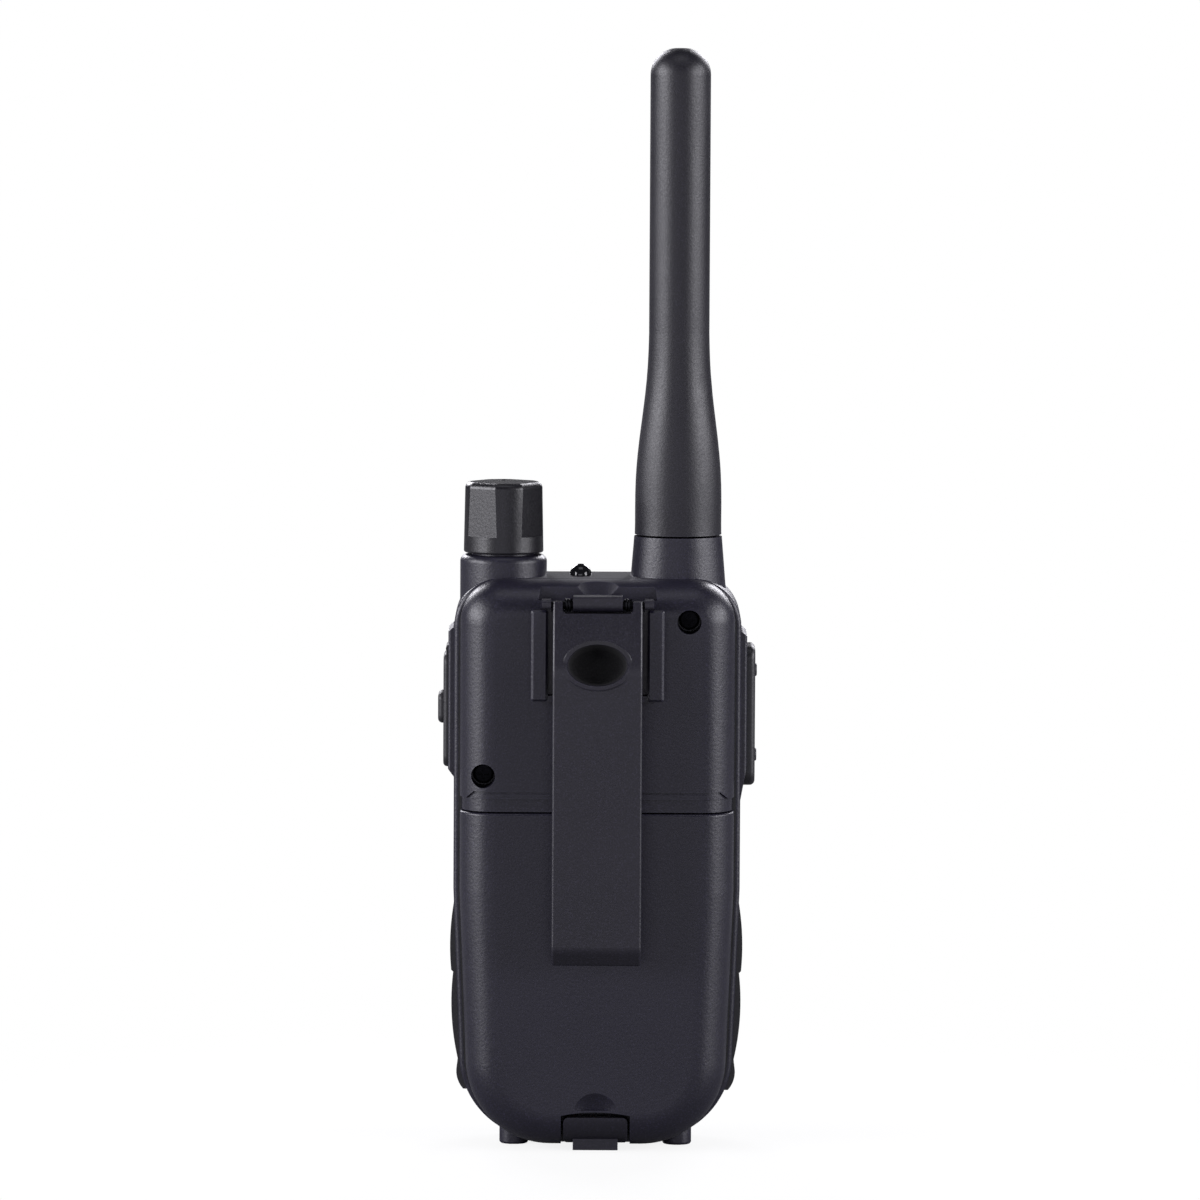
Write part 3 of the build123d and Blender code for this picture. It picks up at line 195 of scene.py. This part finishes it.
def make_lights():
    """Two tall soft boxes beside the radio light its rounded edges, and a faint one overhead its shoulders.

    A low one near the camera lifts the flat back, and two across from the camera light the radio's front.
    """
    for side, name in ((1, "left"), (-1, "right")):
        area_light(f"tall_{name}", (side * 1.25, 0.42, 0.45), (0.65, 1.3), 26.5 + side * 2.5)
        area_light(f"front_key_{name}", (side * 0.55, -1.3, 0.72), (0.6, 0.6), 13)
    area_light("overhead", (0, 0.35, 1.5), (0.9, 0.7), 2.5)
    area_light("fill", (0.15, 1.9, 0.08), (1.4, 0.7), 5.2, (0.90, 0.88, 1.0))


def make_world():
    """White behind everything that the camera sees, and a faint even glow as a source of light."""
    world = bpy.data.worlds.new("studio")
    bpy.context.scene.world = world
    world.use_nodes = True
    nodes, links = world.node_tree.nodes, world.node_tree.links
    nodes.clear()
    out = nodes.new("ShaderNodeOutputWorld")
    mix = nodes.new("ShaderNodeMixShader")
    path = nodes.new("ShaderNodeLightPath")
    seen = nodes.new("ShaderNodeBackground")
    seen.inputs["Color"].default_value = (1, 1, 1, 1)
    seen.inputs["Strength"].default_value = 1.0
    glow = nodes.new("ShaderNodeBackground")
    glow.inputs["Color"].default_value = (0.95, 0.97, 1, 1)
    glow.inputs["Strength"].default_value = 0.035
    links.new(path.outputs["Is Camera Ray"], mix.inputs["Fac"])
    links.new(glow.outputs[0], mix.inputs[1])
    links.new(seen.outputs[0], mix.inputs[2])
    links.new(mix.outputs[0], out.inputs["Surface"])


def make_floor():
    """A pale floor that fades into the white behind it, so that only a faint shadow shows under the feet.

    It is clear to the camera away from the radio and lets light through, so a battery door that is slid off
    downwards can still be seen.
    """
    half, near, far = 14.0, 0.03, 0.16
    clear_near = 0.85  # how clear the floor is beside the feet
    mesh = bpy.data.meshes.new("floor")
    corners = [(-half, -half, 0), (half, -half, 0), (half, half, 0), (-half, half, 0)]
    mesh.from_pydata(corners, [], [(0, 1, 2, 3)])
    floor = bpy.data.objects.new("floor", mesh)
    floor.location.z = LOW.z
    bpy.context.scene.collection.objects.link(floor)
    paper = Shader("floor_paper")
    paper.set(Base_Color=(0.93, 0.93, 0.93, 1), Roughness=0.8)
    reach = paper.node("ShaderNodeVectorMath", operation="LENGTH")
    paper.link(paper.place, reach.inputs[0])
    rays = paper.node("ShaderNodeLightPath").outputs
    clear_share = paper.remap(reach.outputs["Value"], near, far, clear_near, 1.0)
    clear = paper.node("ShaderNodeBsdfTransparent").outputs[0]
    faded = paper.shader_mix(clear_share, paper.bsdf.outputs[0], clear)
    dim = paper.node("ShaderNodeBsdfDiffuse")
    dim.inputs["Color"].default_value = (0.22, 0.22, 0.22, 1)
    seen = paper.shader_mix(rays["Is Camera Ray"], dim.outputs[0], faded)
    surface = paper.shader_mix(rays["Is Shadow Ray"], seen, clear)
    paper.link(surface, paper.tree.nodes["Material Output"].inputs["Surface"])
    mesh.materials.append(paper.material)


# ---------------------------------------------------------------- materials
def dish_shade_share(shader):
    """Share of painted shade: 1 deep in the belt clip's thumb dish, falling to 0 at its rim."""
    arm_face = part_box("clip_arm")[1].y
    split = shader.node("ShaderNodeSeparateXYZ")
    shader.link(shader.place, split.inputs[0])
    across = shader.maths("DIVIDE", split.outputs["X"], DISH_HALF_W)
    along = shader.maths("DIVIDE", shader.maths("SUBTRACT", split.outputs["Z"], DISH_Z), DISH_HALF_H)
    reach = shader.maths(
        "ADD", shader.maths("MULTIPLY", across, across), shader.maths("MULTIPLY", along, along)
    )
    inside = shader.remap(reach, 1.0, 0.8)
    deep = shader.remap(split.outputs["Y"], arm_face - DISH_SHADE_DEPTHS[0], arm_face - DISH_SHADE_DEPTHS[1])
    return shader.maths("MULTIPLY", inside, deep)


def moulded(name, colour, roughness, grain=0.0004, depth=0.00003, wear_and_sheen_amount=0.35, dish=False):
    """Moulded plastic or rubber with a spark-eroded grain, painted glint specks, faint mottling and lighter
    edges that are partly rubbed wear and partly painted highlight.

    With dish, the inside of the clip's thumb dish gets painted shade, darker than the arm round it, and is
    duller.
    """
    shader = Shader(name)
    mottle = shader.noise(0.018, 3)
    fine = shader.noise(grain, 3, 0.6)
    pits = shader.cells(grain * 1.6)
    darker = tuple(c * 0.82 for c in colour)
    base = shader.mix(mottle, darker, colour)
    # Painted glints: fine specks of lighter colour stand for the sparkle of the grain's glossy facets.
    glint_specks = shader.remap(shader.noise(grain * 0.8, 1), 0.55, 0.72, 0, 0.75)
    base = shader.mix(glint_specks, base, tuple(c * 2.4 for c in colour))
    # Edges lighten towards the worn colour. This is partly rubbed wear and partly a painted highlight along
    # convex and concave edges.
    wear_and_sheen = shader.maths("MULTIPLY", shader.edges(0.0006), shader.remap(shader.noise(0.004, 4), 0.35, 0.7))
    wear_and_sheen = shader.maths("MULTIPLY", wear_and_sheen, wear_and_sheen_amount)
    worn = tuple(c * 3.2 + 0.012 for c in colour)
    base = shader.mix(wear_and_sheen, base, worn)
    grained = shader.remap(fine, 0.3, 0.7, roughness - 0.06, roughness + 0.08)
    rough = shader.maths("ADD", grained, shader.remap(mottle, 0.3, 0.7, -0.03, 0.03))
    rough = shader.maths("SUBTRACT", rough, shader.maths("MULTIPLY", wear_and_sheen, 0.25))
    if dish:
        inside = dish_shade_share(shader)
        # Painted shade: deeper in the bowl, the dish's base colour falls to a tenth of the arm's.
        base = shader.mix(inside, base, tuple(c * 0.1 for c in colour))
        rough = shader.maths("ADD", rough, shader.maths("MULTIPLY", inside, 0.55))
    shader.link(base, shader.bsdf.inputs["Base Color"])
    shader.link(rough, shader.bsdf.inputs["Roughness"])
    height = shader.maths("ADD", fine, shader.maths("MULTIPLY", pits, 0.5))
    shader.link(shader.bump(height, depth), shader.bsdf.inputs["Normal"])
    return shader.material


def metal(name, colour, roughness):
    """Drawn or plated metal with fine streaks and uneven polish."""
    shader = Shader(name)
    mapping = shader.node("ShaderNodeMapping")
    mapping.inputs["Scale"].default_value = (1, 1, 12)
    shader.link(shader.place, mapping.inputs["Vector"])
    lines = shader.node("ShaderNodeTexNoise")
    lines.inputs["Scale"].default_value = 1500
    lines.inputs["Detail"].default_value = 3
    shader.link(mapping.outputs[0], lines.inputs["Vector"])
    tarnish = shader.noise(0.003, 4)
    darker = tuple(c * 0.72 for c in colour)
    shader.link(shader.mix(tarnish, darker, colour), shader.bsdf.inputs["Base Color"])
    shader.link(shader.remap(lines.outputs["Fac"], 0.3, 0.7, roughness - 0.08, roughness + 0.12),
                shader.bsdf.inputs["Roughness"])
    shader.link(shader.bump(lines.outputs["Fac"], 0.000006), shader.bsdf.inputs["Normal"])
    shader.set(Metallic=1.0)
    return shader.material


def polished(name, colour, roughness=0.08, alpha=1.0):
    """A polished plastic or glass surface with faint smears and dust."""
    shader = Shader(name)
    smear = shader.noise(0.006, 4)
    darker = tuple(c * 0.9 for c in colour)
    shader.link(shader.mix(smear, darker, colour), shader.bsdf.inputs["Base Color"])
    shader.link(shader.remap(smear, 0.35, 0.75, roughness, roughness + 0.12), shader.bsdf.inputs["Roughness"])
    shader.link(shader.bump(shader.noise(0.004, 2), 0.000006), shader.bsdf.inputs["Normal"])
    shader.set(Alpha=alpha)
    return shader.material


def woven(name, colour, thread=0.00045):
    """Fine plain weave: two sets of threads crossing."""
    shader = Shader(name)
    split = shader.node("ShaderNodeSeparateXYZ")
    shader.link(shader.place, split.inputs[0])
    waves = []
    for axis in ("X", "Z"):
        angle = shader.maths("MULTIPLY", split.outputs[axis], math.pi / thread)
        waves.append(shader.maths("ABSOLUTE", shader.maths("SINE", angle, 0), 0))
    height = shader.maths("MULTIPLY", waves[0], waves[1])
    # Painted shade: the cloth darkens to 0.3 of its colour where the threads dip, along the gaps between
    # them.
    shade = shader.mix(height, tuple(c * 0.3 for c in colour), colour)
    shader.link(shade, shader.bsdf.inputs["Base Color"])
    shader.link(shader.bump(height, 0.0001), shader.bsdf.inputs["Normal"])
    shader.set(Roughness=0.9)
    return shader.material


def circuit_board(name):
    """Green solder resist with copper tracks faintly raised under it."""
    shader = Shader(name)
    tracks = shader.node("ShaderNodeTexBrick")
    shader.link(shader.place, tracks.inputs["Vector"])
    tracks.inputs["Scale"].default_value = 260
    tracks.inputs["Mortar Size"].default_value = 0.06
    shade = shader.mix(tracks.outputs["Fac"], (0.012, 0.10, 0.045), (0.03, 0.20, 0.08))
    shader.link(shade, shader.bsdf.inputs["Base Color"])
    shader.link(shader.bump(tracks.outputs["Fac"], 0.00003), shader.bsdf.inputs["Normal"])
    shader.link(shader.remap(shader.noise(0.002), 0.3, 0.7, 0.25, 0.4), shader.bsdf.inputs["Roughness"])
    return shader.material


def sleeved_cell(name):
    """A battery cell's shrink sleeve: dark, with a copper-coloured band at each end."""
    shader = Shader(name)
    low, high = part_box("battery_cells")
    split = shader.node("ShaderNodeSeparateXYZ")
    shader.link(shader.place, split.inputs[0])
    middle = (low.z + high.z) / 2
    from_middle = shader.maths("ABSOLUTE", shader.maths("SUBTRACT", split.outputs["Z"], middle), 0)
    half = (high.z - low.z) / 2
    band = shader.remap(from_middle, half * 0.62, half * 0.63)
    smear = shader.noise(0.004, 4)
    shade = shader.mix(band, (0.012, 0.013, 0.016), (0.42, 0.16, 0.06))
    shader.link(shade, shader.bsdf.inputs["Base Color"])
    shader.link(shader.remap(smear, 0.3, 0.7, 0.18, 0.34), shader.bsdf.inputs["Roughness"])
    shader.link(shader.bump(smear, 0.00001), shader.bsdf.inputs["Normal"])
    shader.set(Coat_Weight=0.3)
    return shader.material


def printed(name, colour, roughness=0.45):
    """Screen-printed ink, slightly uneven in cover."""
    shader = Shader(name)
    cover = shader.noise(0.0003, 3)
    worn = shader.noise(0.0015, 4)
    thin = shader.maths("MULTIPLY", shader.remap(cover, 0.3, 0.7), shader.remap(worn, 0.45, 0.7))
    shader.link(shader.mix(thin, colour, tuple(c * 0.55 for c in colour)), shader.bsdf.inputs["Base Color"])
    shader.link(shader.remap(cover, 0.3, 0.7, roughness, roughness + 0.15), shader.bsdf.inputs["Roughness"])
    shader.link(shader.bump(cover, 0.000004), shader.bsdf.inputs["Normal"])
    return shader.material


def make_materials():
    """One material for each of the record's slots."""
    return {
        "case_plastic": moulded("case_plastic", (0.0078, 0.0070, 0.0150), 0.41),
        "clip_plastic": moulded(
            "clip_plastic", (0.0080, 0.0072, 0.0130), 0.40, grain=0.00035, depth=0.000026, dish=True
        ),
        "antenna_cover": moulded(
            "antenna_cover", (0.0070, 0.0064, 0.0105), 0.44, grain=0.00035, depth=0.000024
        ),
        "soft_rubber": moulded("soft_rubber", (0.0085, 0.0083, 0.0105), 0.52, depth=0.00002, wear_and_sheen_amount=0.2),
        "knob_plastic": moulded("knob_plastic", (0.0045, 0.0042, 0.0065), 0.37, depth=0.00002),
        "button_plastic": moulded("button_plastic", (0.0085, 0.0083, 0.0110), 0.46, depth=0.00002),
        "seal_rubber": moulded("seal_rubber", (0.012, 0.012, 0.013), 0.7, grain=0.0002, depth=0.00001),
        "lamp_lens": polished("lamp_lens", (0.008, 0.008, 0.010), 0.06),
        "window": polished("window", (0.015, 0.017, 0.018), 0.03, alpha=0.2),
        "display": polished("display", (0.42, 0.47, 0.36), 0.25),
        "steel": metal("steel", (0.62, 0.62, 0.64), 0.28),
        "black_steel": metal("black_steel", (0.012, 0.012, 0.014), 0.5),
        "brass": metal("brass", (0.85, 0.62, 0.28), 0.25),
        "board": circuit_board("board"),
        "black_moulding": moulded("black_moulding", (0.014, 0.014, 0.015), 0.5, grain=0.00015, depth=0.00001),
        "cloth": woven("cloth", (0.03, 0.03, 0.032)),
        "magnet": metal("magnet", (0.12, 0.12, 0.13), 0.5),
        "cell": sleeved_cell("cell"),
    }


def dress_nodes(materials):
    """Gives every CAD node the material of its slot. The antenna's brass stud is blackened."""
    finish = {"antenna_stud": "black_steel"}
    for entry in frame["record"]["subparts"]:
        node = NODES[entry["node"]]
        node.data.materials.clear()
        node.data.materials.append(materials[finish.get(entry["node"], entry["material_slot"])])


# ---------------------------------------------------------------- thin printed pieces
ARC_STEPS = 8
INK = 0.01 * MM  # how far the ink stands out of the keys


def rounded_rect(centre, size, radius):
    """Outline of a rectangle with round corners in the X-Z plane, as (x, z) points."""
    points = []
    for quarter in range(4):
        sx = 1 if quarter in (0, 3) else -1
        sz = 1 if quarter in (0, 1) else -1
        corner = (centre[0] + sx * (size[0] / 2 - radius), centre[1] + sz * (size[1] / 2 - radius))
        for step in range(ARC_STEPS + 1):
            angle = math.pi / 2 * (quarter + step / ARC_STEPS)
            points.append((corner[0] + radius * math.cos(angle), corner[1] + radius * math.sin(angle)))
    return points


def arc(centre, radius, start, end):
    """Points along an arc, angles in degrees."""
    points = []
    for step in range(2 * ARC_STEPS + 1):
        angle = math.radians(start + (end - start) * step / (2 * ARC_STEPS))
        points.append((centre[0] + radius * math.cos(angle), centre[1] + radius * math.sin(angle)))
    return points


def stroke(path, width):
    """Outline of a line of even width along a path, with round ends."""
    path = [Vector(point) for point in path]
    left, right = [], []
    for index, point in enumerate(path):
        before = path[max(index - 1, 0)]
        after = path[min(index + 1, len(path) - 1)]
        along = (after - before).normalized()
        across = Vector((-along.y, along.x)) * width / 2
        left.append(point + across)
        right.append(point - across)
    caps = []
    for tip, inner in ((path[-1], path[-2]), (path[0], path[1])):
        out = (tip - inner).normalized()
        first = math.atan2(out.y, out.x) + math.pi / 2
        angles = [first - math.pi * step / ARC_STEPS for step in range(1, ARC_STEPS)]
        caps.append([tip + Vector((math.cos(a), math.sin(a))) * width / 2 for a in angles])
    return [tuple(point) for point in left + caps[0] + right[::-1] + caps[1]]


def printed_piece(name, outlines, front, thickness, material, body):
    """Flat shapes given by their outlines, lying in the X-Z plane with their face at Y = front."""
    mesh = bpy.data.meshes.new(name)
    vertices, faces = [], []
    for outline in outlines:
        start, count = len(vertices), len(outline)
        vertices += [(x, front, z) for x, z in outline]
        vertices += [(x, front + thickness, z) for x, z in outline]
        faces.append(tuple(range(start, start + count)))
        faces.append(tuple(range(start + 2 * count - 1, start + count - 1, -1)))
        for index in range(count):
            following = (index + 1) % count
            faces.append((start + following, start + index, start + count + index, start + count + following))
    mesh.from_pydata(vertices, [], faces)
    mesh.validate()
    mesh.materials.append(material)
    piece = bpy.data.objects.new(name, mesh)
    bpy.context.scene.collection.objects.link(piece)
    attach(piece, body)
    return piece


def key_symbols(centre):
    """Plain symbols for the five front keys, by body name, round each key's middle."""
    x, z = centre
    line = 0.4 * MM
    menu_bars = []
    for rise in (-1.1 * MM, 0, 1.1 * MM):
        menu_bars.append(stroke([(x - 1.5 * MM, z + rise), (x + 1.5 * MM, z + rise)], 0.45 * MM))
    waves = [rounded_rect(centre, (0.9 * MM, 0.9 * MM), 0.44 * MM)]
    for radius in (1.2 * MM, 2.0 * MM):
        for side in (0, 180):
            waves.append(stroke(arc(centre, radius, side - 42, side + 42), line))
    bow = 0.75 * MM  # radius of the padlock's bow
    foot = z + 0.3 * MM
    shackle = [(x - bow, foot)] + arc((x, z + 0.8 * MM), bow, 180, 0) + [(x + bow, foot)]
    padlock = [rounded_rect((x, z - 0.6 * MM), (2.4 * MM, 1.8 * MM), 0.3 * MM), stroke(shackle, line)]
    half, base, tip = 1.7 * MM, 0.9 * MM, 1.1 * MM  # of the two arrows
    return {
        "menu_key": menu_bars,
        "call_key": waves,
        "lock_key": padlock,
        "down_key": [[(x - half, z + base), (x, z - tip), (x + half, z + base)]],
        "up_key": [[(x - half, z - base), (x + half, z - base), (x, z + tip)]],
    }


def make_key_symbols():
    """Light symbols on the keys, which move with them."""
    ink = printed("key_ink", (0.55, 0.56, 0.56))
    for body in ("menu_key", "call_key", "lock_key", "down_key", "up_key"):
        low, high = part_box(body)
        centre = ((low.x + high.x) / 2, (low.z + high.z) / 2)
        shapes = key_symbols(centre)[body]
        printed_piece(f"{body}_symbol", shapes, low.y - INK, 3 * INK, ink, body)


def digit(corner, lit):
    """The outlines of a seven-segment digit's lit bars; lit names them by letter from a to g."""
    wide, tall, bar = 5.2 * MM, 9.0 * MM, 1.0 * MM
    lean = 0.05
    x, z = corner
    ends = {
        "a": ((0, tall), (wide, tall)),
        "b": ((wide, tall), (wide, tall / 2)),
        "c": ((wide, tall / 2), (wide, 0)),
        "d": ((0, 0), (wide, 0)),
        "e": ((0, tall / 2), (0, 0)),
        "f": ((0, tall), (0, tall / 2)),
        "g": ((0, tall / 2), (wide, tall / 2)),
    }
    outlines = []
    for letter in lit:
        first, last = (Vector(end) for end in ends[letter])
        along = (last - first).normalized()
        across = Vector((-along.y, along.x)) * bar / 2
        gap = along * bar * 0.12
        tip = along * bar / 2
        a, b = first + gap, last - gap
        corners = [a, a + tip + across, b - tip + across, b, b - tip - across, a + tip - across]
        outlines.append([(x + point.x + lean * point.y, z + point.y) for point in corners])
    return outlines


def make_display_marks():
    """Dark marks on the display: a channel number, signal bars and a battery."""
    low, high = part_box("display_module")
    x, z = (low.x + high.x) / 2, (low.z + high.z) / 2
    glass = low.y + 0.4 * MM  # bottom of the module's shallow recess
    digits_base = z - 5.8 * MM
    shapes = digit((x - 7.5 * MM, digits_base), "bc")
    shapes += digit((x + 0.5 * MM, digits_base), "abcdefg")
    for step in range(4):  # signal bars, rising to the right
        size = (0.9 * MM, (1.2 + 0.7 * step) * MM)
        place = (x + (1.4 * step - 12.8) * MM, z + 3.4 * MM + size[1] / 2)
        shapes.append(rounded_rect(place, size, 0.1 * MM))
    cell = (x + 11.2 * MM, z + 5.0 * MM)
    outline = rounded_rect(cell, (4.2 * MM, 2.2 * MM), 0.3 * MM)
    shapes.append(stroke(outline + [(cell[0] + 2.1 * MM, cell[1] + 0.8 * MM)], 0.3 * MM))
    for step in (-1, 0, 1):  # the battery's three bars
        shapes.append(rounded_rect((cell[0] + 1.2 * MM * step, cell[1]), (0.8 * MM, 1.3 * MM), 0.1 * MM))
    dark = printed("display_ink", (0.012, 0.014, 0.012), 0.3)
    printed_piece("display_marks", shapes, glass - 0.04 * MM, 0.03 * MM, dark, "case")


def make_window_border():
    """A black printed frame behind the window, round the display."""
    low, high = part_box("display_window")
    middle = ((low.x + high.x) / 2, (low.z + high.z) / 2)
    wide, tall = high.x - low.x, high.z - low.z
    border = 3.1 * MM
    thickness = 0.2 * MM
    outer = rounded_rect(middle, (wide - border, tall - border), 1.4 * MM)
    inner = rounded_rect(middle, (wide - 2 * border, tall - 2 * border), 1.2 * MM)
    face = high.y + 0.02 * MM
    rings = [(outer, face), (inner, face), (inner, face + thickness), (outer, face + thickness)]
    vertices = [(x, y, z) for ring, y in rings for x, z in ring]
    count = len(outer)
    faces = []
    for ring in range(len(rings)):
        for index in range(count):
            following = (index + 1) % count
            first, second = ring * count, (ring + 1) % len(rings) * count
            faces.append((first + index, first + following, second + following, second + index))
    mesh = bpy.data.meshes.new("window_border")
    mesh.from_pydata(vertices, [], faces)
    mesh.materials.append(printed("border_ink", (0.006, 0.006, 0.007), 0.25))
    piece = bpy.data.objects.new("window_border", mesh)
    bpy.context.scene.collection.objects.link(piece)
    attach(piece, "case")


make_camera()
make_world()
make_lights()
make_floor()
dress_nodes(make_materials())
make_key_symbols()
make_display_marks()
make_window_border()
bpy.context.scene.view_settings.view_transform = "Standard"
